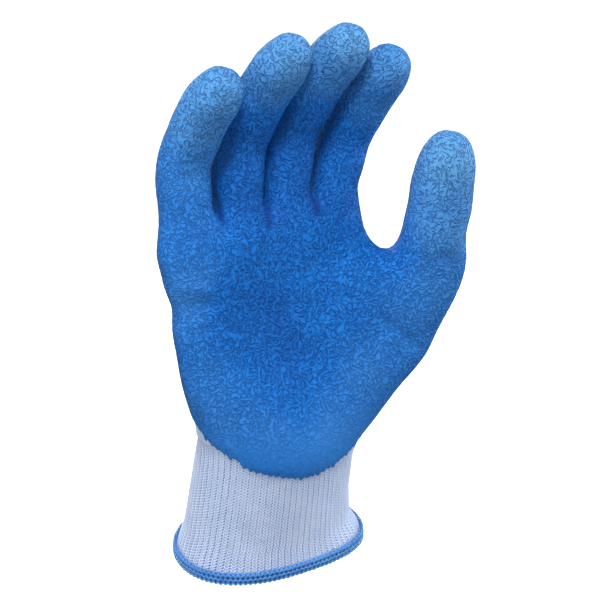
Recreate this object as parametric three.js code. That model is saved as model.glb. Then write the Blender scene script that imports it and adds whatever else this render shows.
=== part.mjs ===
// A right-hand knitted work glove with a latex-dipped palm, filled out as a relaxed hand fills it.
// Millimetres. The origin is the middle of the wrist opening, +Z runs up the cuff towards the fingers,
// -Y is the palm side and +X the thumb side.
//
// The glove is laid out as it is knitted: one tube runs up from the wrist and divides, first into the
// thumb and the palm, and then the palm into four fingers. That surface is the form. The latex, the
// knit and the ribbed cuff are walls between two depths below it.

import * as THREE from 'three';
import { mergeVertices } from 'three/addons/utils/BufferGeometryUtils.js';

// Walls and the gap between pieces
const LATEX_THICKNESS = 0.8;
const KNIT_THICKNESS = 1.2;
const RIB_THICKNESS = 2;
const RIB_RELIEF = 0.5;
const HEM_THICKNESS = 1;
const CLEARANCE = 0.3;

// Cuff
const CUFF_LENGTH = 66;
const CUFF_WIDTH = 80;
const CUFF_DEPTH = 58;
const HEM_HEIGHT = 5.5;
const HAND_LEAN = 8; // degrees that the hand leans to the thumb side over a level hem

// Hand
const PALM_LENGTH = 96; // from the cuff to the finger crotches
const PALM_WIDTH = 102;
const PALM_DEPTH = 34;
const THUMB_LEVEL = 63; // from the cuff to the thumb's crotch
const WRIST_EXTENSION = 18; // degrees that the palm leans back from the cuff
const WRIST_DEVIATION = 8; // degrees that it turns to the little finger's side
const WEB_DROP = 2.5; // how far a crotch sags below the roots beside it
const FINGER_LENGTH = 90;
const FINGER_GAP = 0.8;
const THUMB_LENGTH = 59;
const THUMB_WIDTH = 30;

// Dip: how far the latex reaches over the knit
const DIP_HEIGHT = 50; // its edge above the hem, in front
const DIP_SLOPE = 0.92; // its rise for each millimetre to the back
const DIP_WRAP = 0.5; // share of the back half that it wraps round
const DIP_TIP = 20; // how much of a fingertip it covers all round
const DIP_THUMB = 46; // how much of the thumb it covers all round

// Columns and rows of the form
const FINGER_COLUMNS = 3;
const SIDE_COLUMNS = 3;
const ROW_PITCH = 8.6;
const RIB_POINTS = 3; // points round the cuff for each column, two to a rib
const SECTION_SAMPLES = 120;
const SLOPE_REACH = 2; // how far above and below a row its slope is read
const LEAST_CUT = 0.12; // least share of an edge that is left on either side of the latex's edge

// Where the hem's level gives way to the cuff's lean, and the cuff to the bent wrist, as shares of
// the cuff's length, and where the cuff's width and depth give way to the palm's, as at in SECTIONS
const LEAN_END = 0.5;
const BEND_START = 0.6;
const BEND_END = 1.5;
const PALM_START = 0.8;
const PALM_END = 1.3;

// How far round a crotch the knit settles, in widths of the thumb or a finger, and how often
const THUMB_EASE = 1.25;
const FINGER_EASE = 0.6;
const SETTLINGS = 3;

// The hand's section from the hem (at 0) by the cuff's top (at 1) to the finger crotches (at 2).
// Below the palm the half widths and depths are shares of the cuff's, above it of the palm's. The
// thumb and little columns bring that edge of the hand towards the palm side, as shares of the depth.
const SECTIONS = [
  { at: 0.00, left: 0.575, right: 0.560, front: 0.57, back: 0.57, square: 2.2, thumb: 0.14, little: 0.00 },
  { at: 0.10, left: 0.555, right: 0.540, front: 0.54, back: 0.56, square: 2.2, thumb: 0.11, little: 0.00 },
  { at: 0.24, left: 0.535, right: 0.485, front: 0.52, back: 0.54, square: 2.1, thumb: 0.04, little: 0.00 },
  { at: 0.50, left: 0.530, right: 0.475, front: 0.50, back: 0.50, square: 2.1, thumb: 0.00, little: 0.00 },
  { at: 0.78, left: 0.525, right: 0.475, front: 0.48, back: 0.47, square: 2.1, thumb: 0.00, little: 0.00 },
  { at: 1.02, left: 0.485, right: 0.535, front: 0.54, back: 0.48, square: 2.2, thumb: 0.15, little: 0.05 },
  { at: 1.22, left: 0.470, right: 0.695, front: 0.58, back: 0.50, square: 2.3, thumb: 0.50, little: 0.10 },
  { at: 1.42, left: 0.475, right: 0.820, front: 0.54, back: 0.50, square: 2.3, thumb: 0.80, little: 0.12 },
  { at: 1.62, left: 0.475, right: 0.900, front: 0.49, back: 0.48, square: 2.3, thumb: 1.00, little: 0.10 },
  { at: 2.00, left: 0.480, right: 0.890, front: 0.46, back: 0.45, square: 2.6, thumb: 1.00, little: 0.08 },
];

// The palm's own section above the thumb.
const KNUCKLES = [
  { at: 1.62, left: 0.465, right: 0.530, front: 0.48, back: 0.48, square: 2.4, thumb: 0.20, little: 0.10 },
  { at: 1.80, left: 0.475, right: 0.520, front: 0.46, back: 0.46, square: 2.6, thumb: 0.10, little: 0.08 },
  { at: 2.00, left: 0.485, right: 0.535, front: 0.42, back: 0.43, square: 2.8, thumb: 0.00, little: 0.05 },
];

// A finger's section along its length, and the thumb's, as shares of the stall's width.
const FINGER_SECTIONS = [
  { at: 0.00, wide: 0.500, front: 0.500, back: 0.480 },
  { at: 0.20, wide: 0.500, front: 0.480, back: 0.450 },
  { at: 0.38, wide: 0.495, front: 0.440, back: 0.460 },
  { at: 0.56, wide: 0.500, front: 0.460, back: 0.430 },
  { at: 0.74, wide: 0.500, front: 0.460, back: 0.430 },
  { at: 0.88, wide: 0.455, front: 0.430, back: 0.390 },
  { at: 0.96, wide: 0.330, front: 0.310, back: 0.290 },
];
const THUMB_SECTIONS = [
  { at: 0.00, wide: 0.560, front: 0.520, back: 0.500 },
  { at: 0.25, wide: 0.540, front: 0.480, back: 0.470 },
  { at: 0.50, wide: 0.490, front: 0.440, back: 0.430 },
  { at: 0.72, wide: 0.450, front: 0.420, back: 0.380 },
  { at: 0.88, wide: 0.370, front: 0.360, back: 0.320 },
  { at: 0.96, wide: 0.260, front: 0.250, back: 0.240 },
];

// The rows that the cuff and the form share, as shares of the cuff's length.
const CUFF_ROWS = [0.02, 0.10, 0.22, 0.48, 0.74, 0.88];

// How each finger stands. Lengths and widths are shares of the finger sizes above. The angles are
// degrees: fan leans it to the thumb side, slant turns the plane that it bends in, and the last two
// are how far it bends at its middle joint and at its tip joint.
const FINGERS = [
  { length: 0.89, width: 1.00, fan: 5, slant: 28, middle: 30, tip: 14 },
  { length: 1.03, width: 1.00, fan: 12, slant: 24, middle: 28, tip: 14 },
  { length: 1.05, width: 1.00, fan: 16, slant: 22, middle: 28, tip: 14 },
  { length: 0.88, width: 1.00, fan: 25, slant: 4, middle: 28, tip: 12 },
];
const THUMB = { fan: 18, slant: -30, middle: 4, tip: 6 };
const MIDDLE_JOINT = 0.36; // places of the joints, as shares of a finger's length
const TIP_JOINT = 0.66;
const JOINT_SPREAD = 0.13;
const STALL_SQUARE = 2.2; // how square a finger is round, where 2 is an ellipse

const FINGER_PITCH = PALM_WIDTH / FINGERS.length;
const FINGER_WIDTH = FINGER_PITCH - FINGER_GAP;
const REACH = CUFF_LENGTH + PALM_LENGTH;
const RIBS = ((FINGERS.length + 1) * FINGER_COLUMNS + SIDE_COLUMNS) * RIB_POINTS;

// Hollows and folds: across as a share of the palm's half width from its middle, at as in SECTIONS,
// depth and radius in shares of the palm's depth.
const DENTS = [
  { across: -0.20, at: 1.52, depth: 0.10, radius: 0.55 },
  { across: 0.05, at: 1.28, depth: 0.06, radius: 0.45 },
  { across: -0.60, at: 1.38, depth: 0.04, radius: 0.24 },
  { across: 0.85, at: 1.38, depth: 0.06, radius: 0.20 },
  { across: 1.10, at: 1.28, depth: 0.06, radius: 0.20 },
];

const radians = THREE.MathUtils.degToRad;
const { clamp, lerp, smoothstep } = THREE.MathUtils;
const ACROSS = new THREE.Vector3(1, 0, 0);
const BACK = new THREE.Vector3(0, 1, 0);
const ALONG = new THREE.Vector3(0, 0, 1);

// Reads a table of named columns at a place, on a smooth curve through its rows.
function readTable(table, at) {
  const last = table.length - 1;
  const i = Math.max(0, Math.min(last - 1, table.findLastIndex((row) => row.at <= at)));
  const [before, from, to, after] = [i - 1, i, i + 1, i + 2]
    .map((n) => table[Math.min(last, Math.max(0, n))]);
  const span = to.at - from.at;
  const t = (at - from.at) / span;
  const row = {};
  for (const key of Object.keys(from)) {
    const rise = (to[key] - from[key]) / span;
    const slope = (a, b) => {
      const other = a === b ? rise : (b[key] - a[key]) / (b.at - a.at);
      return rise * other > 0 ? (2 * rise * other) / (rise + other) : 0;
    };
    const start = slope(before, from) * span;
    const end = slope(to, after) * span;
    row[key] = lerp(from[key], to[key], smoothstep(t, 0, 1)) + t * (1 - t) * ((1 - t) * start - t * end);
  }
  return row;
}

// A frame is a centre and three directions: across to the thumb side, back of the hand, and along.
function turned(frame, axis, degrees) {
  const turn = (v) => v.clone().applyAxisAngle(axis, radians(degrees));
  return {
    centre: frame.centre.clone(),
    across: turn(frame.across),
    back: turn(frame.back),
    along: turn(frame.along),
  };
}

// The hand's frame at a distance up from the hem. The hem is level, the cuff leans over it, and the
// palm turns at the wrist.
function handFrame(distance) {
  const centre = new THREE.Vector3();
  const level = { centre, across: ACROSS, back: BACK, along: ALONG };
  const steps = Math.ceil(distance);
  const bent = (gone, lean) => {
    const share = smoothstep(gone, CUFF_LENGTH * BEND_START, CUFF_LENGTH * BEND_END);
    const tilted = turned(level, ACROSS, -WRIST_EXTENSION * share);
    return turned(tilted, BACK, lean - WRIST_DEVIATION * share);
  };
  for (let n = 0; n < steps; n += 1) {
    centre.addScaledVector(bent((distance * (n + 0.5)) / steps, HAND_LEAN).along, distance / steps);
  }
  return bent(distance, HAND_LEAN * smoothstep(distance, 0, CUFF_LENGTH * LEAN_END));
}

// The section at a distance up from the hem, in millimetres.
function sectionAt(table, distance) {
  const inPalm = (distance - CUFF_LENGTH) / PALM_LENGTH;
  const at = inPalm < 0 ? distance / CUFF_LENGTH : 1 + inPalm;
  const row = readTable(table, at);
  const share = smoothstep(at, PALM_START, PALM_END);
  const width = lerp(CUFF_WIDTH, PALM_WIDTH, share);
  const depth = lerp(CUFF_DEPTH, PALM_DEPTH, share);
  return {
    left: row.left * width,
    right: row.right * width,
    front: row.front * depth,
    back: row.back * depth,
    square: row.square,
    thumb: row.thumb * depth,
    little: row.little * depth,
  };
}

// Places points evenly along half of a section: the palm side from the little finger round to the
// thumb, or the back from the thumb round to the little finger.
function halfSection(section, from, count) {
  const line = Array.from({ length: SECTION_SAMPLES + 1 }, (_, i) => {
    const angle = from + (Math.PI * i) / SECTION_SAMPLES;
    const rounded = (v) => Math.sign(v) * Math.abs(v) ** (2 / section.square);
    const x = rounded(Math.cos(angle));
    const y = rounded(Math.sin(angle));
    const forward = x * x * (x > 0 ? section.thumb : section.little);
    return {
      x: x * (x > 0 ? section.right : section.left),
      y: y * (y < 0 ? section.front : section.back) - forward,
      around: y,
    };
  });
  const lengths = [0];
  for (let i = 1; i <= SECTION_SAMPLES; i += 1) {
    lengths.push(lengths[i - 1] + Math.hypot(line[i].x - line[i - 1].x, line[i].y - line[i - 1].y));
  }
  return Array.from({ length: count }, (_, n) => {
    const want = (lengths.at(-1) * (n + 0.5)) / count;
    const i = lengths.findIndex((length) => length > want);
    const t = (want - lengths[i - 1]) / (lengths[i] - lengths[i - 1]);
    const mixed = (key) => lerp(line[i - 1][key], line[i][key], t);
    return { x: mixed('x'), y: mixed('y'), around: mixed('around') };
  });
}

function sectionPoints(frame, section, half) {
  return [...halfSection(section, -Math.PI, half), ...halfSection(section, 0, half)].map((p) => ({
    ...p,
    place: frame.centre.clone().addScaledVector(frame.across, p.x).addScaledVector(frame.back, p.y),
  }));
}

// The form: points joined by quads, each point with a dip, which is how far inside the latex's edge
// it lies. Loose points, round a stall's root and near a crotch, settle as knit does.
class Form {
  constructor() {
    this.points = [];
    this.dips = [];
    this.quads = [];
    this.loose = new Set();
    this.crotches = [];
  }

  add(place, dip) {
    this.points.push(place);
    this.dips.push(dip);
    return this.points.length - 1;
  }

  // A row of the tube. front and back run from the little finger's side to the thumb's, and left and
  // right hold the points between them, palm side first.
  row(frame, section, columns, dipOf) {
    const half = columns + SIDE_COLUMNS;
    const ids = sectionPoints(frame, section, half).map((p) => this.add(p.place, dipOf(p)));
    return {
      front: ids.slice(1, half - 1),
      right: ids.slice(half - 1, half + 1),
      back: ids.slice(half + 1, -1).reverse(),
      left: [ids[0], ids[2 * half - 1]],
    };
  }

  loop(row) {
    return [...row.front, ...row.right, ...row.back.toReversed(), ...row.left.toReversed()];
  }

  join(lower, upper) {
    const a = this.loop(lower);
    const b = this.loop(upper);
    a.forEach((id, i) => {
      const next = (i + 1) % a.length;
      this.quads.push([id, a[next], b[next], b[i]]);
    });
  }

  loosen(row) {
    this.loop(row).forEach((id) => this.loose.add(id));
  }

  middle(row) {
    const ids = this.loop(row);
    return ids.reduce((sum, id) => sum.add(this.points[id]), new THREE.Vector3()).divideScalar(ids.length);
  }

  // Divides a row at a column with new points across the crotch, and returns both rows.
  divide(row, column, drop, spread) {
    const front = row.front[column];
    const back = row.back[column];
    const crotch = [1, 2].map((n) => {
      const t = n / SIDE_COLUMNS;
      return this.add(
        this.points[front].clone().lerp(this.points[back], t).add(drop),
        lerp(this.dips[front], this.dips[back], t),
      );
    });
    const place = this.points[crotch[0]].clone().lerp(this.points[crotch[1]], 0.5);
    this.crotches.push({ place, spread });
    const kept = { front: row.front.slice(0, column + 1), back: row.back.slice(0, column + 1) };
    const rest = { front: row.front.slice(column), back: row.back.slice(column) };
    return [
      { ...kept, left: row.left, right: crotch },
      { ...rest, left: crotch, right: row.right },
    ];
  }

  // Closes a stall's last row with a patch of quads, domed by reach.
  cap(row, along, reach) {
    const inner = [0, 1].map((j) => [0, 1].map((i) => {
      const ids = [row.front[1 + i], row.back[1 + i], row.left[j], row.right[j]];
      const sum = ids.reduce((total, id) => total.add(this.points[id]), new THREE.Vector3());
      return this.add(sum.divideScalar(ids.length).addScaledVector(along, reach), DIP_TIP);
    }));
    const grid = [
      row.front,
      [row.left[0], ...inner[0], row.right[0]],
      [row.left[1], ...inner[1], row.right[1]],
      row.back,
    ];
    for (let j = 0; j < SIDE_COLUMNS; j += 1) {
      for (let i = 0; i < FINGER_COLUMNS; i += 1) {
        this.quads.push([grid[j][i], grid[j][i + 1], grid[j + 1][i + 1], grid[j + 1][i]]);
      }
    }
  }

  // Lets loose points settle between their neighbours, and the latex's edge with them.
  settle(times) {
    const near = this.points.map(() => new Set());
    for (const quad of this.quads) {
      quad.forEach((id, i) => near[id].add(quad[(i + 1) % 4]).add(quad[(i + 3) % 4]));
    }
    this.points.forEach((point, id) => {
      if (this.crotches.some(({ place, spread }) => place.distanceTo(point) < spread)) this.loose.add(id);
    });
    for (let n = 0; n < times; n += 1) {
      const settled = [...this.loose].map((id) => {
        const place = new THREE.Vector3();
        let dip = 0;
        for (const other of near[id]) {
          place.addScaledVector(this.points[other], 1 / near[id].size);
          dip += this.dips[other] / near[id].size;
        }
        return { id, place: place.lerp(this.points[id], 0.5), dip: (dip + this.dips[id]) / 2 };
      });
      for (const { id, place, dip } of settled) {
        this.points[id].copy(place);
        this.dips[id] = dip;
      }
    }
  }

  normals() {
    const sums = this.points.map(() => new THREE.Vector3());
    for (const quad of this.quads) {
      const [a, b, c, d] = quad.map((id) => this.points[id]);
      const normal = c.clone().sub(a).cross(d.clone().sub(b));
      quad.forEach((id) => sums[id].add(normal));
    }
    return sums.map((normal) => normal.normalize());
  }
}

// Grows a finger or the thumb from its root row to its tip.
function growStall(form, root, base, pose, length, width, sections, tipDip) {
  const start = turned(base, base.back, pose.fan);
  const hinge = start.across.clone().applyAxisAngle(start.along, radians(pose.slant));
  const bentAt = (share) => turned(start, hinge, pose.middle
    * smoothstep(share, MIDDLE_JOINT - JOINT_SPREAD, MIDDLE_JOINT + JOINT_SPREAD)
    + pose.tip * smoothstep(share, TIP_JOINT - JOINT_SPREAD, TIP_JOINT + JOINT_SPREAD));
  const end = sections.at(-1).at;
  const rows = Math.round((length * end) / ROW_PITCH);
  const centre = base.centre.clone();
  let below = root;
  for (let n = 1; n <= rows; n += 1) {
    const share = (end * n) / rows;
    centre.addScaledVector(bentAt(share - (end * 0.5) / rows).along, (length * end) / rows);
    const frame = { ...bentAt(share), centre };
    const shape = readTable(sections, share);
    const section = {
      left: shape.wide * width,
      right: shape.wide * width,
      front: shape.front * width,
      back: shape.back * width,
      square: STALL_SQUARE,
      thumb: 0,
      little: 0,
    };
    const dipOf = (p) => Math.max((DIP_WRAP - p.around) * section.back, length * share - length + tipDip);
    const row = form.row(frame, section, FINGER_COLUMNS, dipOf);
    form.join(below, row);
    if (n === 1) form.loosen(row);
    below = row;
  }
  form.cap(below, bentAt(1).along, length * (1 - end));
}

function buildForm() {
  const form = new Form();
  const thumbAt = CUFF_LENGTH + THUMB_LEVEL;
  const fingerColumns = FINGERS.length * FINGER_COLUMNS;
  const dipOf = (distance, section) => (p) => {
    const line = DIP_HEIGHT + DIP_SLOPE * (p.y + section.front);
    return Math.min(distance - line, (DIP_WRAP - p.around) * section.back);
  };
  const handRow = (table, distance, columns) => {
    const section = sectionAt(table, distance);
    return form.row(handFrame(distance), section, columns, dipOf(distance, section));
  };

  const handRows = Math.round(THUMB_LEVEL / ROW_PITCH);
  const cuffRows = CUFF_ROWS.map((share) => share * CUFF_LENGTH);
  const distances = [
    ...cuffRows.slice(cuffRows.findLastIndex((distance) => distance < DIP_HEIGHT)),
    ...Array.from({ length: handRows + 1 }, (_, n) => CUFF_LENGTH + (THUMB_LEVEL * n) / handRows),
  ];
  let below = null;
  let underCuff = 0;
  for (const distance of distances) {
    const row = handRow(SECTIONS, distance, fingerColumns + FINGER_COLUMNS);
    if (below) form.join(below, row);
    if (distance === CUFF_LENGTH) underCuff = form.quads.length;
    below = row;
  }

  form.loosen(below);
  const drop = handFrame(thumbAt).along.multiplyScalar(-WEB_DROP);
  const [palmRoot, thumbRoot] = form.divide(below, fingerColumns, drop, THUMB_WIDTH * THUMB_EASE);
  const thumbBase = turned(handFrame(thumbAt), handFrame(thumbAt).along, THUMB.slant);
  thumbBase.centre = form.middle(thumbRoot);
  const thumbPose = { ...THUMB, slant: 0 };
  growStall(form, thumbRoot, thumbBase, thumbPose, THUMB_LENGTH, THUMB_WIDTH, THUMB_SECTIONS, DIP_THUMB);

  below = palmRoot;
  const palmRows = Math.round((REACH - thumbAt) / ROW_PITCH);
  for (let n = 1; n <= palmRows; n += 1) {
    const row = handRow(KNUCKLES, lerp(thumbAt, REACH, n / palmRows), fingerColumns);
    form.join(below, row);
    below = row;
  }

  form.loosen(below);
  const knuckles = handFrame(REACH);
  const webDrop = knuckles.along.clone().multiplyScalar(-WEB_DROP);
  FINGERS.forEach((finger, i) => {
    const isLast = i === FINGERS.length - 1;
    const ease = FINGER_PITCH * FINGER_EASE;
    const [root, rest] = isLast ? [below] : form.divide(below, FINGER_COLUMNS, webDrop, ease);
    const base = { ...knuckles, centre: form.middle(root) };
    const length = finger.length * FINGER_LENGTH;
    growStall(form, root, base, finger, length, finger.width * FINGER_WIDTH, FINGER_SECTIONS, DIP_TIP);
    below = rest;
  });
  form.settle(SETTLINGS);
  return { form, underCuff };
}

// Pushes in the hollows and folds of the palm.
function dentForm(form) {
  const spots = DENTS.map((dent) => {
    const distance = CUFF_LENGTH + (dent.at - 1) * PALM_LENGTH;
    const frame = handFrame(distance);
    const section = sectionAt(SECTIONS, distance);
    const x = (dent.across * PALM_WIDTH) / 2;
    const [edge, reach] = x > 0 ? [section.right, section.thumb] : [section.left, section.little];
    const place = frame.centre.clone()
      .addScaledVector(frame.across, x)
      .addScaledVector(frame.back, -section.front - reach * (x / edge) ** 2);
    return { place, depth: dent.depth * PALM_DEPTH, radius: dent.radius * PALM_DEPTH };
  });
  const normals = form.normals();
  form.points.forEach((point, i) => {
    for (const { place, depth, radius } of spots) {
      point.addScaledVector(normals[i], -depth * Math.exp(-((point.distanceTo(place) / radius) ** 2)));
    }
  });
}

// Splits quads into triangles, on the diagonal that every layer shares.
function trianglesOf(quads) {
  return quads.flatMap(([a, b, c, d]) => [[a, b, c], [a, c, d]]);
}

// Keeps what the dip reached: triangles that the latex's edge crosses are cut along it.
function dipped(points, normals, dips, triangles) {
  const places = [...points];
  const outward = [...normals];
  const cuts = new Map();
  const cut = (a, b) => {
    const [from, to] = a < b ? [a, b] : [b, a];
    const key = `${from} ${to}`;
    if (!cuts.has(key)) {
      const t = clamp(dips[from] / (dips[from] - dips[to]), LEAST_CUT, 1 - LEAST_CUT);
      places.push(points[from].clone().lerp(points[to], t));
      outward.push(normals[from].clone().lerp(normals[to], t));
      cuts.set(key, places.length - 1);
    }
    return cuts.get(key);
  };
  const kept = triangles.flatMap((triangle) => {
    const corners = triangle.flatMap((id, i) => {
      const next = triangle[(i + 1) % 3];
      const crosses = dips[id] > 0 !== dips[next] > 0;
      return [...(dips[id] > 0 ? [id] : []), ...(crosses ? [cut(id, next)] : [])];
    });
    return corners.slice(2).map((corner, i) => [corners[0], corners[i + 1], corner]);
  });
  return { places, outward, kept };
}

// A closed wall over triangles of a surface, between two depths below it.
function wall(points, normals, triangles, outer, inner) {
  const count = points.length;
  const sunk = (depth) => points.flatMap((p, i) => p.clone().addScaledVector(normals[i], -depth).toArray());
  const index = triangles.flatMap(([a, b, c]) => [a, b, c, count + c, count + b, count + a]);
  const sides = triangles.flatMap(([a, b, c]) => [[a, b], [b, c], [c, a]]);
  const edges = new Map(sides.map((side) => [side.join(' '), side]));
  for (const [a, b] of edges.values()) {
    if (!edges.has(`${b} ${a}`)) index.push(b, a, count + a, b, count + a, count + b);
  }
  const geometry = new THREE.BufferGeometry();
  geometry.setAttribute('position', new THREE.Float32BufferAttribute([...sunk(outer), ...sunk(inner)], 3));
  geometry.setIndex(index);
  return mergeVertices(geometry.toNonIndexed());
}

// A ring of rows of points, joined into a closed wall by the last row meeting the first.
function ringSolid(rows) {
  const count = rows[0].length;
  const index = rows.flatMap((row, r) => row.flatMap((_, i) => {
    const next = (i + 1) % count;
    const upper = ((r + 1) % rows.length) * count;
    const [a, b, c, d] = [r * count + i, r * count + next, upper + next, upper + i];
    return [a, b, c, a, c, d];
  }));
  const geometry = new THREE.BufferGeometry();
  const positions = rows.flat().flatMap((p) => p.toArray());
  geometry.setAttribute('position', new THREE.Float32BufferAttribute(positions, 3));
  geometry.setIndex(index);
  return geometry;
}

// Points round the cuff at a distance up from the hem, with the way out of the surface at each, which
// turns from level along the hem to the surface's own over twice the hem's height.
function cuffRow(distance, half) {
  const tilt = smoothstep(distance, HEM_HEIGHT, 3 * HEM_HEIGHT);
  const at = (d) => sectionPoints(handFrame(d), sectionAt(SECTIONS, d), half).map((p) => p.place);
  const row = at(distance);
  const lower = at(Math.max(0, distance - SLOPE_REACH));
  const upper = at(distance + SLOPE_REACH);
  return row.map((place, i) => {
    const round = row[(i + 1) % row.length].clone().sub(row.at(i - 1));
    const up = upper[i].clone().sub(lower[i]);
    const outward = round.cross(up).normalize();
    return { place, outward: outward.setZ(outward.z * tilt).normalize() };
  });
}

// The ribbed cuff: every other point round it stands out as a rib.
function cuffSolid() {
  const half = RIBS;
  const depth = LATEX_THICKNESS + 2 * CLEARANCE;
  const lowest = (HEM_THICKNESS + CLEARANCE) / CUFF_LENGTH;
  const highest = 1 - (2 * CLEARANCE) / CUFF_LENGTH;
  const shares = [lowest, ...CUFF_ROWS.slice(1), highest];
  const rows = shares.map((share) => cuffRow(share * CUFF_LENGTH, half));
  const sunk = (row, depthOf) => row.map((p, i) => p.place.clone().addScaledVector(p.outward, -depthOf(i)));
  const outer = rows.map((row) => sunk(row, (i) => depth + RIB_RELIEF * (i % 2)));
  const inner = rows.map((row) => sunk(row, () => depth + RIB_THICKNESS));
  return ringSolid([...outer, ...inner.toReversed()]);
}

// The overlocked edge wraps the cuff's end: out, round under it and up inside.
function hemSolid() {
  const half = RIBS / 2;
  const face = LATEX_THICKNESS + CLEARANCE;
  const far = face + 2 * CLEARANCE + RIB_THICKNESS;
  const bevel = HEM_THICKNESS / 2;
  const profile = [
    { depth: face, up: HEM_HEIGHT },
    { depth: face, up: HEM_THICKNESS },
    { depth: far, up: HEM_THICKNESS },
    { depth: far, up: HEM_HEIGHT },
    { depth: far + HEM_THICKNESS, up: HEM_HEIGHT },
    { depth: far + HEM_THICKNESS, up: bevel },
    { depth: far + bevel, up: 0 },
    { depth: face - bevel, up: 0 },
    { depth: face - HEM_THICKNESS, up: bevel },
    { depth: face - HEM_THICKNESS, up: HEM_HEIGHT - bevel },
  ];
  const rows = profile.map(({ depth, up }) => cuffRow(up, half)
    .map((p) => p.place.clone().addScaledVector(p.outward, -depth)));
  return ringSolid(rows);
}

const { form, underCuff } = buildForm();
dentForm(form);
const normals = form.normals();
const latex = dipped(form.points, normals, form.dips, trianglesOf(form.quads));
const knitted = trianglesOf(form.quads.slice(underCuff));
const knitDepth = LATEX_THICKNESS + CLEARANCE;
const pieces = [
  {
    name: 'latex_coating',
    geometry: wall(latex.places, latex.outward, latex.kept, 0, LATEX_THICKNESS),
    finish: { color: 0x2a72bd, roughness: 0.6, metalness: 0 },
  },
  {
    name: 'knit_liner',
    geometry: wall(form.points, normals, knitted, knitDepth, knitDepth + KNIT_THICKNESS),
    finish: { color: 0xaebfda, roughness: 0.9, metalness: 0 },
  },
  {
    name: 'rib_cuff',
    geometry: cuffSolid(),
    finish: { color: 0xaebfda, roughness: 0.9, metalness: 0 },
  },
  {
    name: 'hem_overlock',
    geometry: hemSolid(),
    finish: { color: 0x4a86c8, roughness: 0.85, metalness: 0 },
  },
];

const glove = new THREE.Group();
for (const piece of pieces) {
  const mesh = new THREE.Mesh(piece.geometry, new THREE.MeshStandardMaterial(piece.finish));
  mesh.name = piece.name;
  glove.add(mesh);
}

export default glove;
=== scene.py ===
"""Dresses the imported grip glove: crinkled latex over a seamless knit, a ribbed cuff and an overlocked hem.

Everything is in metres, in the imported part's own frame: +Z up the cuff to the fingers, -Y the palm side
and +X the thumb side.
"""

from __future__ import annotations

import logging
import math
from dataclasses import dataclass, field
from enum import Enum
from typing import NamedTuple

import bmesh
import bpy
import numpy as np
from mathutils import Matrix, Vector, noise
from mathutils.bvhtree import BVHTree
from mathutils.kdtree import KDTree


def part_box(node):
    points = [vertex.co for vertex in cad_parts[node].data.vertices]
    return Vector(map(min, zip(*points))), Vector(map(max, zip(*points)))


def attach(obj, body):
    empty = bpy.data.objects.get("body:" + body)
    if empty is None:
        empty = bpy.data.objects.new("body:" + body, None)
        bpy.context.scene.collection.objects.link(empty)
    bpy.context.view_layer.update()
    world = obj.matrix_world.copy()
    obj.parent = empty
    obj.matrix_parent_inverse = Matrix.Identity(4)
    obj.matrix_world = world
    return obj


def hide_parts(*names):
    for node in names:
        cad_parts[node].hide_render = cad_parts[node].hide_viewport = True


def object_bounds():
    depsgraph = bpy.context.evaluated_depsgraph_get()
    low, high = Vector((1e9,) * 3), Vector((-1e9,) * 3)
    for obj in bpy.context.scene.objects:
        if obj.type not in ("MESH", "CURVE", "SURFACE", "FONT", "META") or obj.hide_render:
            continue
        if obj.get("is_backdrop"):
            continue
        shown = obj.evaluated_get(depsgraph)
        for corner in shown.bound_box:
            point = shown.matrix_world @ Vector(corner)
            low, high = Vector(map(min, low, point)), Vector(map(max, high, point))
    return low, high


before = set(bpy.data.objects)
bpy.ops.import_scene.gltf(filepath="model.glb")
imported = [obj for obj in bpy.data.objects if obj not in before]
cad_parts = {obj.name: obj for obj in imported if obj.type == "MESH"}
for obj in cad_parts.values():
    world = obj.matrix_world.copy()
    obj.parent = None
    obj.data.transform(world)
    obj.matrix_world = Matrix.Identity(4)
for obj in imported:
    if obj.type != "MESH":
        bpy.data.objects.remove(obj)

MM = 0.001
UP = Vector((0, 0, 1))
WHITE = (1, 1, 1, 1)

log = logging.getLogger("glove")


class Slot(Enum):
    """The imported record's material slots."""

    LATEX = "latex"
    KNIT = "knit"
    THREAD = "hem_thread"


def srgb(red: float, green: float, blue: float) -> tuple[float, float, float, float]:
    """Turns a screen colour of 0 to 255 into the linear colour that a shader takes.

    Args:
        red: The red share.
        green: The green share.
        blue: The blue share.

    Returns:
        The linear colour, with a full alpha.
    """
    linear = [
        c / 12.92 if c <= 0.04045 else ((c + 0.055) / 1.055) ** 2.4
        for c in (red / 255, green / 255, blue / 255)
    ]
    return (*linear, 1.0)


class Term:
    """A shader value that takes part in sums, so that patterns read as arithmetic."""

    def __init__(self, paint: Paint, socket: bpy.types.NodeSocket) -> None:
        """Wraps a socket."""
        self.paint = paint
        self.socket = socket

    def __add__(self, other: Term | float) -> Term:
        """Adds."""
        return self.paint.math("ADD", self, other)

    __radd__ = __add__

    def __sub__(self, other: Term | float) -> Term:
        """Takes away."""
        return self.paint.math("SUBTRACT", self, other)

    def __rsub__(self, other: float) -> Term:
        """Takes this away from a number."""
        return self.paint.math("SUBTRACT", other, self)

    def __mul__(self, other: Term | float) -> Term:
        """Multiplies."""
        return self.paint.math("MULTIPLY", self, other)

    __rmul__ = __mul__


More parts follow.
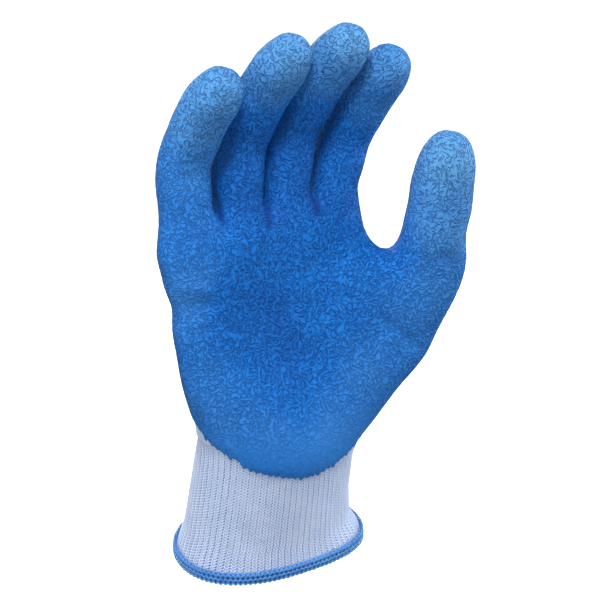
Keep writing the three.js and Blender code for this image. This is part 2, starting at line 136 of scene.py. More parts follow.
class Paint:
    """A material under construction, and the maths of its patterns."""

    # A Mix node holds sockets for every kind of value, so its colours are found by their places.
    MIX_INPUTS = (0, 6, 7)
    MIX_RESULT = 2

    def __init__(self, name: str) -> None:
        """Starts a material with a Principled surface.

        Args:
            name: The material's name.
        """
        self.material = bpy.data.materials.new(name)
        self.material.use_nodes = True
        self.tree = self.material.node_tree
        self.surface = self.tree.nodes["Principled BSDF"]

    def node(self, kind: str, settings: dict | None = None, inputs: dict | None = None) -> bpy.types.Node:
        """Adds a node.

        Args:
            kind: The node's type.
            settings: Its settings, which are set first.
            inputs: Values or terms for its sockets, by name or by place.

        Returns:
            The node.
        """
        made = self.tree.nodes.new(kind)
        for key, value in (settings or {}).items():
            setattr(made, key, value)
        for key, value in (inputs or {}).items():
            self.feed(made.inputs[key], value)
        return made

    def feed(self, socket: bpy.types.NodeSocket, value: Term | float | tuple) -> None:
        """Links a term to a socket, or sets the socket's own value.

        Args:
            socket: The socket.
            value: What it takes.
        """
        if isinstance(value, Term):
            self.tree.links.new(value.socket, socket)
        else:
            socket.default_value = value

    def math(self, operation: str, *values: Term | float, clamp: bool = False) -> Term:
        """Adds a Math node.

        Args:
            operation: The node's operation.
            *values: Its values.
            clamp: Whether the result stays between 0 and 1.

        Returns:
            The result.
        """
        settings = {"operation": operation, "use_clamp": clamp}
        return Term(self, self.node("ShaderNodeMath", settings, dict(enumerate(values))).outputs[0])

    def ramp(self, value: Term, low: float, high: float) -> Term:
        """Turns a value into a smooth step.

        Args:
            value: The value.
            low: Where the step is 0.
            high: Where it is 1.

        Returns:
            The step.
        """
        made = self.node(
            "ShaderNodeMapRange",
            {"interpolation_type": "SMOOTHSTEP"},
            {"Value": value, "From Min": low, "From Max": high},
        )
        return Term(self, made.outputs["Result"])

    def blend(self, value: Term, stops: list[tuple[float, tuple]]) -> Term:
        """Reads a colour from stops.

        Args:
            value: Where it is read, from 0 to 1.
            stops: Places from 0 to 1, each with its colour.

        Returns:
            The colour.
        """
        made = self.node("ShaderNodeValToRGB", {}, {"Fac": value})
        elements = made.color_ramp.elements
        while len(elements) < len(stops):
            elements.new(1.0)
        for element, (place, colour) in zip(elements, stops):
            element.position, element.color = place, colour
        return Term(self, made.outputs["Color"])

    def moved(self, place: Term, by: tuple[float, float, float]) -> Term:
        """Moves a place, so that a pattern read there matches no other."""
        return Term(self, self.node("ShaderNodeMapping", {}, {"Vector": place, "Location": by}).outputs[0])

    def object_place(self) -> Term:
        """Gives the place on the object, in metres."""
        return Term(self, self.node("ShaderNodeTexCoord").outputs["Object"])

    def attribute(self, name: str) -> Term:
        """Gives a number that the mesh holds."""
        return Term(self, self.node("ShaderNodeAttribute", {"attribute_name": name}).outputs["Fac"])

    def noise(self, place: Term, pitch: float, detail: float = 0.0) -> Term:
        """Gives a soft noise of 0 to 1, whose blots are about a pitch apart."""
        made = self.node("ShaderNodeTexNoise", {}, {"Vector": place, "Scale": 1 / pitch, "Detail": detail})
        return Term(self, made.outputs["Fac"])

    def mix(self, share: Term, first: Term | tuple, second: Term | tuple) -> Term:
        """Mixes two colours.

        Args:
            share: The share of the second.
            first: The first colour.
            second: The second colour.

        Returns:
            The mixed colour.
        """
        inputs = dict(zip(self.MIX_INPUTS, (share, first, second)))
        made = self.node("ShaderNodeMix", {"data_type": "RGBA"}, inputs)
        return Term(self, made.outputs[self.MIX_RESULT])

    def raise_by(self, height: Term, distance: float, strength: float = 1.0) -> None:
        """Bumps the surface by a height of 0 to 1 times a distance in metres."""
        inputs = {"Height": height, "Distance": distance, "Strength": strength}
        self.set(Normal=Term(self, self.node("ShaderNodeBump", {}, inputs).outputs[0]))

    def set(self, **values: Term | float | tuple) -> None:
        """Sets the surface's sockets, whose names have _ for a space."""
        for key, value in values.items():
            self.feed(self.surface.inputs[key.replace("_", " ")], value)


@dataclass(frozen=True)
class Creases:
    """Short winding creases, side by side like a maze's.

    They are the contours of a soft noise, and a second noise, the gate, breaks them. The blots of both
    are in pitches. Width is a share of the contours' spacing, core the share of the width that is full,
    and unbroken the share of the creases' length that shows.
    """

    pitch: float
    width: float
    unbroken: float
    blot: float = 3.4
    contours: float = 6.0
    detail: float = 0.5
    core: float = 0.3
    gate_blot: float = 1.3
    gate: float = 0.56
    gate_fade: float = 0.06
    gate_reach: float = 0.2

    def draw(self, paint: Paint, place: Term) -> Term:
        """Draws the creases.

        Args:
            paint: The material.
            place: The place on the object.

        Returns:
            1 in the middle of a crease and 0 between them.
        """
        contour = paint.noise(place, self.pitch * self.blot, self.detail) * self.contours
        line = 1 - paint.ramp(paint.math("PINGPONG", contour, 0.5), self.width * self.core, self.width)
        gate = paint.noise(place, self.pitch * self.gate_blot)
        shut = self.gate - self.gate_reach * self.unbroken
        return line * paint.ramp(gate, shut, shut + self.gate_fade)


@dataclass(frozen=True)
class LatexFinish:
    """Matt blue latex, shrunk into a labyrinth of short creases as it cured.

    The fingertips, painted pale as a highlight, and the palm have creases of their own size: a full set, and
    a few that cross it.
    Apart is how far the crossing ones are moved, so that no two sets match.
    """

    # Groove is the colour of painted shade, which the creases and the gaps between the fingers are darkened
    # towards; deep is painted shade and pale a painted highlight.
    groove: tuple = srgb(4, 44, 118)
    deep: tuple = srgb(8, 72, 150)
    body: tuple = srgb(18, 106, 192)
    pale: tuple = srgb(84, 144, 196)
    body_tone: float = 0.3
    tip: Creases = Creases(1.4 * MM, 0.17, 1.0)
    tip_crossing: Creases = Creases(1.54 * MM, 0.16, 0.4)
    palm: Creases = Creases(1.2 * MM, 0.2, 1.0)
    palm_crossing: Creases = Creases(1.44 * MM, 0.18, 0.4)
    apart: tuple = (0.31, 0.17, 0.53)
    coarse_from: float = 0.2
    coarse_to: float = 0.75
    tip_fade: float = 0.5
    palm_fade: float = 0.7
    darkness: float = 0.7
    tip_paling: float = 0.2
    blotch_pitch: float = 20 * MM
    blotch_detail: float = 3.0
    blotch_share: float = 0.22
    grain_pitch: float = 1.0 * MM
    grain_detail: float = 2.0
    grain_share: float = 0.1
    grain_height: float = 0.3
    shade_share: float = 0.85
    roughness: float = 0.6
    crease_roughness: float = 0.25
    specular: float = 0.14
    crease_depth: float = 0.7 * MM

    def build(self) -> bpy.types.Material:
        """Paints the latex.

        Returns:
            The material.
        """
        paint = Paint("latex")
        place = paint.object_place()
        elsewhere = paint.moved(place, self.apart)
        # The paleness attribute is painted light: towards pale as a painted highlight on tips and edges,
        # towards deep as painted shade in the palm's hollow and under the fingers.
        tone = paint.attribute("tone")
        coarse = paint.ramp(tone, self.coarse_from, self.coarse_to)
        tips = self.tip.draw(paint, place), self.tip_crossing.draw(paint, elsewhere)
        palms = self.palm.draw(paint, elsewhere), self.palm_crossing.draw(paint, place)
        wide = paint.math("MAXIMUM", *tips) * (1 - self.tip_fade + self.tip_fade * coarse)
        fine = paint.math("MAXIMUM", *palms) * (1 - self.palm_fade * coarse)
        crease = paint.math("MAXIMUM", wide, fine, clamp=True) * paint.attribute("shrunk")
        blotch = paint.noise(place, self.blotch_pitch, self.blotch_detail) - 0.5
        grain = paint.noise(place, self.grain_pitch, self.grain_detail) - 0.5
        share = paint.math("ADD", tone, blotch * self.blotch_share + grain * self.grain_share, clamp=True)
        ground = paint.blend(share, [(0.0, self.deep), (self.body_tone, self.body), (1.0, self.pale)])
        # The creases are painted darker, as the shade that falls in them, besides their bump, and the folds
        # add their painted shade between the fingers.
        painted_shade = crease * (self.darkness - self.tip_paling * coarse)
        painted_shade = paint.math("MAXIMUM", painted_shade, paint.attribute("painted_fold_shade"))
        paint.set(
            Base_Color=paint.mix(painted_shade * self.shade_share, ground, self.groove),
            Roughness=self.roughness + crease * self.crease_roughness,
            Specular_IOR_Level=self.specular,
        )
        paint.raise_by(1 - crease + grain * self.grain_height, self.crease_depth)
        return paint.material


@dataclass(frozen=True)
class YarnFinish:
    """Soft spun yarn, shaded between its strands and paler where its fibres catch the light."""

    name: str
    body: tuple
    shade: tuple
    pale: tuple
    fibre_pitch: float = 0.35 * MM
    fibre_depth: float = 0.12 * MM
    fibre_strength: float = 0.6
    detail: float = 2.0
    glint: float = 0.25
    cloud_glint: float = 0.3
    cloud_pitch: float = 12 * MM
    cloud_from: float = 0.3
    cloud_to: float = 0.7
    roughness: float = 0.86
    fibre_roughness: float = 0.1
    sheen: float = 0.3
    sheen_roughness: float = 0.5
    specular: float = 0.2

    def build(self) -> bpy.types.Material:
        """Paints the yarn.

        Returns:
            The material.
        """
        paint = Paint(self.name)
        place = paint.object_place()
        fibre = paint.noise(place, self.fibre_pitch, self.detail)
        cloud = paint.noise(place, self.cloud_pitch, self.detail)
        cloud = paint.ramp(cloud, self.cloud_from, self.cloud_to)
        height = paint.ramp(paint.attribute("lift"), 0.0, 1.0)
        ground = paint.mix(height, self.shade, self.body)
        lit = paint.math("MULTIPLY", fibre, self.glint + self.cloud_glint * cloud, clamp=True)
        paint.set(
            Base_Color=paint.mix(lit, ground, self.pale),
            Roughness=self.roughness + fibre * self.fibre_roughness,
            Sheen_Weight=self.sheen,
            Sheen_Roughness=self.sheen_roughness,
            Specular_IOR_Level=self.specular,
        )
        paint.raise_by(fibre, self.fibre_depth, self.fibre_strength)
        return paint.material


@dataclass
class Surface:
    """Points, faces and outward normals of a smooth surface."""

    points: np.ndarray
    faces: list[tuple[int, ...]]
    normals: np.ndarray


def merged(node: bpy.types.Object) -> bmesh.types.BMesh:
    """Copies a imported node's loose triangles into one joined mesh.

    Args:
        node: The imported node.

    Returns:
        The joined mesh, which the caller frees.
    """
    joined = bmesh.new()
    joined.from_mesh(node.data)
    bmesh.ops.remove_doubles(joined, verts=joined.verts, dist=0.01 * MM)
    joined.normal_update()
    return joined


def add_object(name: str, data: bpy.types.ID) -> bpy.types.Object:
    """Adds an object to the scene, at the origin.

    Args:
        name: The object's name.
        data: Its mesh, camera or light.

    Returns:
        The object.
    """
    made = bpy.data.objects.new(name, data)
    bpy.context.scene.collection.objects.link(made)
    return made


def make_object(
    name: str,
    points: np.ndarray,
    faces: list,
    material: bpy.types.Material | None = None,
    values: dict[str, np.ndarray] | None = None,
) -> bpy.types.Object:
    """Makes a smooth mesh object at the origin.

    Args:
        name: The piece's name.
        points: Its points, in metres.
        faces: Its faces.
        material: What it is dressed in.
        values: Numbers or vectors for each point, by name.

    Returns:
        The object.
    """
    mesh = bpy.data.meshes.new(name)
    mesh.from_pydata([tuple(p) for p in points], [], faces)
    for key, value in (values or {}).items():
        flat = np.asarray(value, np.float32)
        kind, slot = ("FLOAT_VECTOR", "vector") if flat.ndim == 2 else ("FLOAT", "value")
        mesh.attributes.new(key, kind, "POINT").data.foreach_set(slot, flat.ravel())
    mesh.polygons.foreach_set("use_smooth", [True] * len(mesh.polygons))
    if material:
        mesh.materials.append(material)
    mesh.update()
    return add_object(name, mesh)


def tree_of(points: np.ndarray) -> KDTree:
    """Sorts points, so that the one nearest to a place is found quickly.

    Args:
        points: The points.

    Returns:
        The sorted points.
    """
    tree = KDTree(len(points))
    for i, p in enumerate(points):
        tree.insert(p, i)
    tree.balance()
    return tree


def unit(vectors: np.ndarray) -> np.ndarray:
    """Scales vectors to a length of one."""
    return vectors / np.maximum(np.linalg.norm(vectors, axis=-1, keepdims=True), 1e-12)


def smoothstep(values: np.ndarray | float, low: float, high: float) -> np.ndarray:
    """Runs smoothly from 0 at low to 1 at high."""
    share = np.clip((np.asarray(values, float) - low) / (high - low), 0, 1)
    return share * share * (3 - 2 * share)


def ring_wall(rows: list[np.ndarray]) -> tuple[np.ndarray, list]:
    """Joins rings of points into a closed wall, the last ring meeting the first.

    Args:
        rows: The rings, each with as many points.

    Returns:
        The points and the faces.
    """
    count = len(rows[0])
    faces = []
    for r in range(len(rows)):
        upper = ((r + 1) % len(rows)) * count
        for i in range(count):
            after = (i + 1) % count
            faces.append((r * count + i, r * count + after, upper + after, upper + i))
    return np.concatenate(rows), faces


class CuffTube:
    """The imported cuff's outer face, read as rings from the hem up, with its ribs ironed out."""

    # The lowest and the highest ring, as shares of the cuff's length. They stay clear of its two edges.
    LOWEST, HIGHEST = 0.006, 0.965
    # How far from the cuff's middle the rays start that find its face.
    REACH = 0.2
    # Within this height of its foot or its top a point or a face belongs to that edge of the cuff.
    MOUTH, LIP = 0.2 * MM, 20 * MM
    # The least upward part of the normal of a face of the top edge.
    FACING_UP = 0.8

    def __init__(
        self, node: bpy.types.Object, rings: int = 44, around: int = 432, packed_ribs: int = 54
    ) -> None:
        """Reads the cuff.

        Args:
            node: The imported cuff.
            rings: How many rings are read.
            around: How many points a ring has.
            packed_ribs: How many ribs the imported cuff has, which sets how far the ironing reaches.
        """
        joined = merged(node)
        low = min(v.co.z for v in joined.verts)
        high = max(v.co.z for v in joined.verts)
        mouth = [v.co for v in joined.verts if v.co.z < low + self.MOUTH]
        upper = [f for f in joined.faces if f.calc_center_median().z > high - self.LIP]
        lip = [f for f in upper if f.normal.z > self.FACING_UP]
        rim = np.array([v.co for v in {v for f in lip for v in f.verts}])
        bottom = sum(mouth, Vector()) / len(mouth)
        self.top = Vector(rim.mean(axis=0))
        axis = Vector(np.linalg.svd(rim - rim.mean(axis=0))[2][2])
        self.axis = axis if axis.z > 0 else -axis
        tree = BVHTree.FromBMesh(joined)
        joined.free()
        self.length = (self.top - bottom).length * self.HIGHEST
        shares = np.linspace(self.LOWEST, self.HIGHEST, rings)
        grid = np.array([self._ring(tree, bottom, share, around) for share in shares.tolist()])
        half = around // packed_ribs // 2
        grid = sum(np.roll(grid, k, axis=1) for k in range(-half, half + 1)) / (2 * half + 1)
        self.grid = grid
        self.along = unit(np.gradient(grid, axis=0))
        sideways = unit(np.roll(grid, -2, axis=1) - np.roll(grid, 2, axis=1))
        self.outward = unit(np.cross(sideways, self.along))

    def _ring(self, tree: BVHTree, bottom: Vector, share: float, around: int) -> np.ndarray:
        """Reads one ring, with its points evenly spaced from the little finger's side round the palm side.

        Args:
            tree: The cuff's faces.
            bottom: The middle of the cuff's mouth.
            share: How far up the cuff the ring lies, from 0 to 1.
            around: How many points it has.

        Returns:
            The ring's points.
        """
        length = (self.top - bottom).length
        eased = share * share * (3 - 2 * share)
        bulge = share * (1 - share) * length
        centre = bottom.lerp(self.top, eased) + bulge * ((1 - share) * UP - share * self.axis)
        facing = UP.lerp(self.axis, eased).normalized()
        across = (Vector((1, 0, 0)) - facing * facing.x).normalized()
        back = facing.cross(across)
        found = []
        for n in range(around):
            angle = math.pi + 2 * math.pi * n / around
            out = across * math.cos(angle) + back * math.sin(angle)
            hit = tree.ray_cast(centre + out * self.REACH, -out)[0]
            found.append(hit if hit is not None else found[-1])
        line = np.array([*found, found[0]])
        gone = np.concatenate([[0], np.cumsum(np.linalg.norm(np.diff(line, axis=0), axis=1))])
        wanted = np.linspace(0, gone[-1], around, endpoint=False)
        return np.stack([np.interp(wanted, gone, line[:, k]) for k in range(3)], axis=1)

    def read(self, table: np.ndarray, turn: np.ndarray, share: np.ndarray | float) -> np.ndarray:
        """Reads one of the tube's tables between its points.

        Args:
            table: The table, such as grid or outward.
            turn: The turns round the tube, from 0 to 1.
            share: The shares of its height, from 0 to 1.

        Returns:
            What the table holds there.
        """
        rings, count = table.shape[:2]
        u = (np.asarray(turn, float) % 1) * count
        v = np.clip(np.asarray(share, float), 0, 1) * (rings - 1)
        i, j = np.floor(u).astype(int), np.minimum(np.floor(v).astype(int), rings - 2)
        a, b = (u - i)[..., None], (v - j)[..., None]
        i, after = i % count, (i + 1) % count
        lower = table[j, i] * (1 - a) + table[j, after] * a
        upper = table[j + 1, i] * (1 - a) + table[j + 1, after] * a
        return lower * (1 - b) + upper * b

    def at(self, turn: np.ndarray, share: np.ndarray | float) -> tuple[np.ndarray, np.ndarray]:
        """Gives the places on the tube at turns and shares of its height, and the ways out there."""
        return self.read(self.grid, turn, share), self.read(self.outward, turn, share)

    def height_of(self, points: np.ndarray) -> np.ndarray:
        """Gives how high each point is over the cuff's top, along its axis."""
        return (points - np.array(self.top)) @ np.array(self.axis)

    def turn_of(self, points: np.ndarray) -> np.ndarray:
        """Gives the turn round the tube, from 0 to 1, that each point is nearest to.

        Args:
            points: The points.

        Returns:
            Their turns.
        """
        tree = tree_of(self.grid[-1])
        flat = points - self.height_of(points)[:, None] * np.array(self.axis)
        return np.array([tree.find(p)[1] for p in flat]) / len(self.grid[-1])


class HandForm:
    """The knit's outer face over the whole hand, made smooth, and run down over the top of the cuff."""

    # The liner's rim is its faces that look down, lie this near its foot and have an edge this short.
    RIM_HEIGHT, RIM_WIDTH = 20 * MM, 1.5 * MM
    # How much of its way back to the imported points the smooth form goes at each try.
    PULL = 0.8

    def __init__(
        self, liner: bpy.types.Object, tube: CuffTube, depth: float = 20 * MM, levels: int = 3
    ) -> None:
        """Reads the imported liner.

        Args:
            liner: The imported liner.
            tube: The cuff under it.
            depth: How far the form runs down over the cuff.
            levels: How often each of its quads is halved.
        """
        self.tube = tube
        cage = self._outer_face(liner)
        self._run_down(cage, depth)
        mesh = bpy.data.meshes.new("cage")
        cage.to_mesh(mesh)
        cage.free()
        self.surface = self._smoothed(mesh, levels)

    def _outer_face(self, liner: bpy.types.Object) -> bmesh.types.BMesh:
        """Keeps the outer of the liner's two faces and joins its triangles into quads.

        Args:
            liner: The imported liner.

        Returns:
            The outer face.
        """
        joined = merged(liner)
        low = min(v.co.z for v in joined.verts)
        rim = [
            f
            for f in joined.faces
            if f.normal.z < 0
            and f.calc_center_median().z < low + self.RIM_HEIGHT
            and min(e.calc_length() for e in f.edges) < self.RIM_WIDTH
        ]
        bmesh.ops.delete(joined, geom=rim, context="FACES_ONLY")
        seen: set = set()
        sheets = []
        for start in joined.faces:
            if start in seen:
                continue
            seen.add(start)
            sheet, waiting = [], [start]
            while waiting:
                face = waiting.pop()
                sheet.append(face)
                found = {other for edge in face.edges for other in edge.link_faces} - seen
                seen |= found
                waiting += found
            sheets.append(sheet)
        outer = max(sheets, key=lambda sheet: sum(f.calc_area() for f in sheet))
        inner = [f for sheet in sheets if sheet is not outer for f in sheet]
        bmesh.ops.delete(joined, geom=inner, context="FACES")
        loose = [v for v in joined.verts if not v.link_faces]
        bmesh.ops.delete(joined, geom=loose, context="VERTS")
        bmesh.ops.join_triangles(
            joined, faces=joined.faces, angle_face_threshold=math.pi, angle_shape_threshold=math.pi
        )
        return joined

    def _run_down(
        self, cage: bmesh.types.BMesh, depth: float, steps: int = 3, lift: float = 0.55 * MM
    ) -> None:
        """Carries the form's lower edge down over the cuff.

        Args:
            cage: The form, before it is smoothed.
            depth: How far it is carried.
            steps: In how many rows of faces.
            lift: How far it stands off the cuff.
        """
        rim = [v for v in cage.verts if v.is_boundary]
        turns = self.tube.turn_of(np.array([v.co for v in rim]))
        above = {v: v for v in rim}
        edges = []
        for edge in cage.edges:
            if edge.is_boundary:
                start = edge.link_loops[0].vert
                edges.append((start, edge.other_vert(start)))
        for step in range(1, steps + 1):
            places, outward = self.tube.at(turns, 1 - step * depth / steps / self.tube.length)
            below = {v: cage.verts.new(p + o * lift) for v, p, o in zip(rim, places, outward)}
            for first, second in edges:
                cage.faces.new((above[second], above[first], below[first], below[second]))
            above = below
        cage.normal_update()

    def _smoothed(self, mesh: bpy.types.Mesh, levels: int) -> Surface:
        """Smooths the form and keeps it through the points that it was packed with.

        Args:
            mesh: The form, before it is smoothed.
            levels: How often each of its quads is halved.

        Returns:
            The smooth form.
        """
        cage = add_object("cage", mesh)
        modifier = cage.modifiers.new("smooth", "SUBSURF")
        modifier.levels = modifier.render_levels = levels
        wanted = np.array([v.co for v in mesh.vertices])
        shape = wanted.copy()
        for last in (False, False, True):
            mesh.vertices.foreach_set("co", shape.ravel())
            mesh.update()
            bpy.context.view_layer.update()
            graph = bpy.context.evaluated_depsgraph_get()
            smooth = bpy.data.meshes.new_from_object(cage.evaluated_get(graph))
            points = np.zeros(len(smooth.vertices) * 3)
            smooth.vertices.foreach_get("co", points)
            points = points.reshape(-1, 3)
            if not last:
                shape += (wanted - points[: len(wanted)]) * self.PULL
        normals = np.zeros(points.size)
        smooth.vertices.foreach_get("normal", normals)
        faces = [tuple(p.vertices) for p in smooth.polygons]
        bpy.data.objects.remove(cage)
        return Surface(points, faces, normals.reshape(-1, 3))


def neighbours(surface: Surface) -> np.ndarray:
    """Lists the edges of a surface.

    Args:
        surface: The surface.

    Returns:
        A pair of points for each edge.
    """
    quads = np.array([f for f in surface.faces if len(f) == 4])
    pairs = np.concatenate([quads[:, [0, 1]], quads[:, [1, 2]], quads[:, [2, 3]], quads[:, [3, 0]]])
    return np.unique(np.sort(pairs, axis=1), axis=0)


def spread(values: np.ndarray, pairs: np.ndarray, times: int) -> np.ndarray:
    """Evens values out along a surface.

    Args:
        values: A value for each point.
        pairs: The surface's edges.
        times: How often each point takes up its neighbours' mean.

    Returns:
        The evened values.
    """
    count = len(values)
    degree = np.bincount(pairs.ravel(), minlength=count)
    for _ in range(times):
        total = np.bincount(pairs[:, 0], values[pairs[:, 1]], count)
        total += np.bincount(pairs[:, 1], values[pairs[:, 0]], count)
        values = np.where(degree > 0, (values + total / np.maximum(degree, 1)) / 2, values)
    return values


class DipLine:
    """How far inside the latex's edge each point of the form lies, in metres, negative outside it."""

    # A ray from this far under the knit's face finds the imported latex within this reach.
    BELOW, REACH = 2.2 * MM, 4.2 * MM
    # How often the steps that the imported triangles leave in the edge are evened.
    EVENED = 14
    # How far the edge runs down the ribs, and between which heights over the cuff's top it stops doing so.
    SHORTEST, LONGEST = 0.5 * MM, 2.4 * MM
    NOTCHED_TO, PLAIN_FROM = 4 * MM, 16 * MM
    TOOTH_POWER = 0.7
    FRAY_PITCH, FRAY = 2.2 * MM, 0.45 * MM
    # What a place away from the form reads: far outside the edge.
    OUTSIDE = -1.0

    def __init__(self, form: HandForm, latex: bpy.types.Object, ribs: int, seed: int = 7) -> None:
        """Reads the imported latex.

        Args:
            form: The smooth form.
            latex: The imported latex.
            ribs: How many ribs the cuff has, which the edge follows in notches.
            seed: The seed of the notches.
        """
        surface = form.surface
        joined = merged(latex)
        tree = BVHTree.FromBMesh(joined)
        joined.free()
        covered = np.array([
            tree.ray_cast(Vector(p) - Vector(n) * self.BELOW, Vector(n), self.REACH)[0] is not None
            for p, n in zip(surface.points, surface.normals)
        ])
        pairs = neighbours(surface)
        evened = spread(covered.astype(float), pairs, self.EVENED)
        first, second = evened[pairs[:, 0]] - 0.5, evened[pairs[:, 1]] - 0.5
        crossed = first * second < 0
        first, second, pairs = first[crossed], second[crossed], pairs[crossed]
        share = (first / (first - second))[:, None]
        line = surface.points[pairs[:, 0]] * (1 - share) + surface.points[pairs[:, 1]] * share
        edge = tree_of(line)
        away = np.array([edge.find(p)[2] for p in surface.points])
        self.inside = np.where(evened > 0.5, away, -away) + self._notches(form, ribs, seed)
        self.tree = tree_of(surface.points)
        log.info("dip line: %d crossings", len(line))

    def near(self, points: np.ndarray, reach: float = 6 * MM) -> np.ndarray:
        """Reads how far inside the edge each of some points lies, which is far outside beyond a reach."""
        found = [self.tree.find(p) for p in points]
        return np.array([self.inside[i] if away < reach else self.OUTSIDE for _, i, away in found])

    def _notches(self, form: HandForm, ribs: int, seed: int) -> np.ndarray:
        """Draws the edge out along the ribs in front and frays it a little elsewhere.

        Args:
            form: The smooth form.
            ribs: How many ribs the cuff has.
            seed: The seed of the notches.

        Returns:
            How far the edge moves at each point of the form.
        """
        points = form.surface.points
        turn = form.tube.turn_of(points) * ribs
        length = np.random.default_rng(seed).uniform(self.SHORTEST, self.LONGEST, ribs + 1)
        tooth = (1 - np.abs(2 * (turn % 1) - 1)) ** self.TOOTH_POWER
        low = 1 - smoothstep(form.tube.height_of(points), self.NOTCHED_TO, self.PLAIN_FROM)
        fray = np.array([noise.noise(Vector(p) / self.FRAY_PITCH) for p in points]) * self.FRAY
        return length[np.floor(turn).astype(int) % ribs] * tooth * low + fray


@dataclass
class Cut:
    """What is kept of a surface: points that lie between two of its own, at a share of the second."""

    first: np.ndarray
    second: np.ndarray
    share: np.ndarray
    faces: list[tuple[int, ...]]

    def read(self, values: np.ndarray) -> np.ndarray:
        """Reads vectors that the surface's points hold at the kept points."""
        return values[self.first] * (1 - self.share) + values[self.second] * self.share


def clipped(surface: Surface, inside: np.ndarray) -> Cut:
    """Cuts a surface along the line where a value is nought.

    Args:
        surface: The surface.
        inside: The value at each of its points, positive where it is kept.

    Returns:
        What is kept.
    """
    ends: list[tuple[int, int]] = []
    shares: list[float] = []
    places: dict[tuple[int, int], int] = {}
    # A cut keeps at least this share clear of both points, so that no face is a sliver.
    least = 0.05

    def point(a: int, b: int) -> int:
        """Finds or makes the point between two points.

        Args:
            a: One of the two.
            b: The other, or the same.

        Returns:
            The point's number.
        """
        key = (min(a, b), max(a, b))
        if key not in places:
            places[key] = len(ends)
            ends.append(key)
            cut = inside[key[0]] / (inside[key[0]] - inside[key[1]]) if a != b else 0.0
            shares.append(min(1 - least, max(least, cut)) if a != b else 0.0)
        return places[key]

    kept = inside > 0
    faces = []
    for face in surface.faces:
        signs = [kept[i] for i in face]
        if all(signs):
            faces.append(tuple(point(i, i) for i in face))
        elif any(signs):
            corners = []
            for i, a in enumerate(face):
                b = face[(i + 1) % len(face)]
                if kept[a]:
                    corners.append(point(a, a))
                if kept[a] != kept[b]:
                    corners.append(point(a, b))
            if len(corners) > 2:
                faces.append(tuple(corners))
    pair = np.array(ends)
    return Cut(pair[:, 0], pair[:, 1], np.array(shares)[:, None], faces)


def rim_of(faces: list[tuple[int, ...]]) -> list[tuple[int, int]]:
    """Lists the edges that only one face has, in the faces' order.

    Args:
        faces: The faces.

    Returns:
        The edges, each as its two points.
    """
    edges = {(a, face[(i + 1) % len(face)]): None for face in faces for i, a in enumerate(face)}
    return [(a, b) for a, b in edges if (b, a) not in edges]


class Spot(NamedTuple):
    """How pale the latex is painted at a place, from 0 to 1, as painted highlight and painted shade. The
    place is in millimetres.
    """

    x: float
    y: float
    z: float
    tone: float


class Fold(NamedTuple):
    """A fold of the latex, in millimetres. A height below nought is a crease.

    The last field is painted shade: how far the latex's colour is darkened along the fold, from 0 to 1, as
    the shade in a crease and the shadow between the fingers.
    """

    start: tuple[float, float, float]
    end: tuple[float, float, float]
    height: float
    width: float
    painted_shade: float


# Painted light in the latex's colour: a painted highlight where the tips, the thumb and the outer edges
# catch the light, and painted shade in the palm's hollow and under the curled fingers.
TONE_AND_LIGHT_SPOTS = [
    Spot(-13.8, 19.5, 224.6, 0.85),  # little fingertip
    Spot(23.8, 18.0, 234.8, 0.95),  # ring fingertip
    Spot(50.2, 17.8, 234.5, 1.00),  # middle fingertip
    Spot(72.7, 16.0, 218.1, 0.80),  # index fingertip
    Spot(87.9, -7.9, 181.8, 1.00),  # thumb tip
    Spot(84.8, -13.1, 155.0, 0.72),  # thumb
    Spot(74.6, -14.5, 122.5, 0.50),  # thumb's root
    Spot(62.7, -1.1, 135.6, 0.25),  # web
    Spot(-18.0, 22.0, 208.0, 0.75),  # last joints of the four fingers
    Spot(19.0, 20.0, 222.0, 0.75),
    Spot(46.0, 20.0, 221.0, 0.60),
    Spot(69.0, 18.0, 206.0, 0.45),
    Spot(-24.7, 25.8, 187.9, 0.50),  # little finger
    Spot(-23.7, 19.1, 166.3, 0.40),  # its root
    Spot(12.7, 25.4, 199.0, 0.12),  # ring finger
    Spot(38.0, 25.0, 199.0, 0.12),  # middle finger
    Spot(61.6, 23.9, 174.4, 0.22),  # index finger
    Spot(5.0, 17.0, 168.0, 0.15),  # roots of the fingers
    Spot(35.0, 15.0, 168.0, 0.15),
    Spot(23.0, 9.3, 147.2, 0.28),  # upper palm
    Spot(-7.1, 4.5, 129.2, 0.18),  # hollow of the palm
    Spot(5.8, -4.0, 107.0, 0.15),
    Spot(38.4, -5.0, 119.5, 0.28),
    Spot(5.5, -14.1, 89.0, 0.24),
    Spot(-34.1, 11.1, 137.0, 0.48),  # little finger's side
    Spot(-32.7, -5.9, 92.9, 0.44),
    Spot(60.5, -12.0, 114.6, 0.40),  # ball of the thumb
    Spot(48.7, -16.0, 92.0, 0.44),
    Spot(-8.3, -21.2, 75.9, 0.44),  # heel
    Spot(25.0, -21.0, 72.0, 0.46),
]


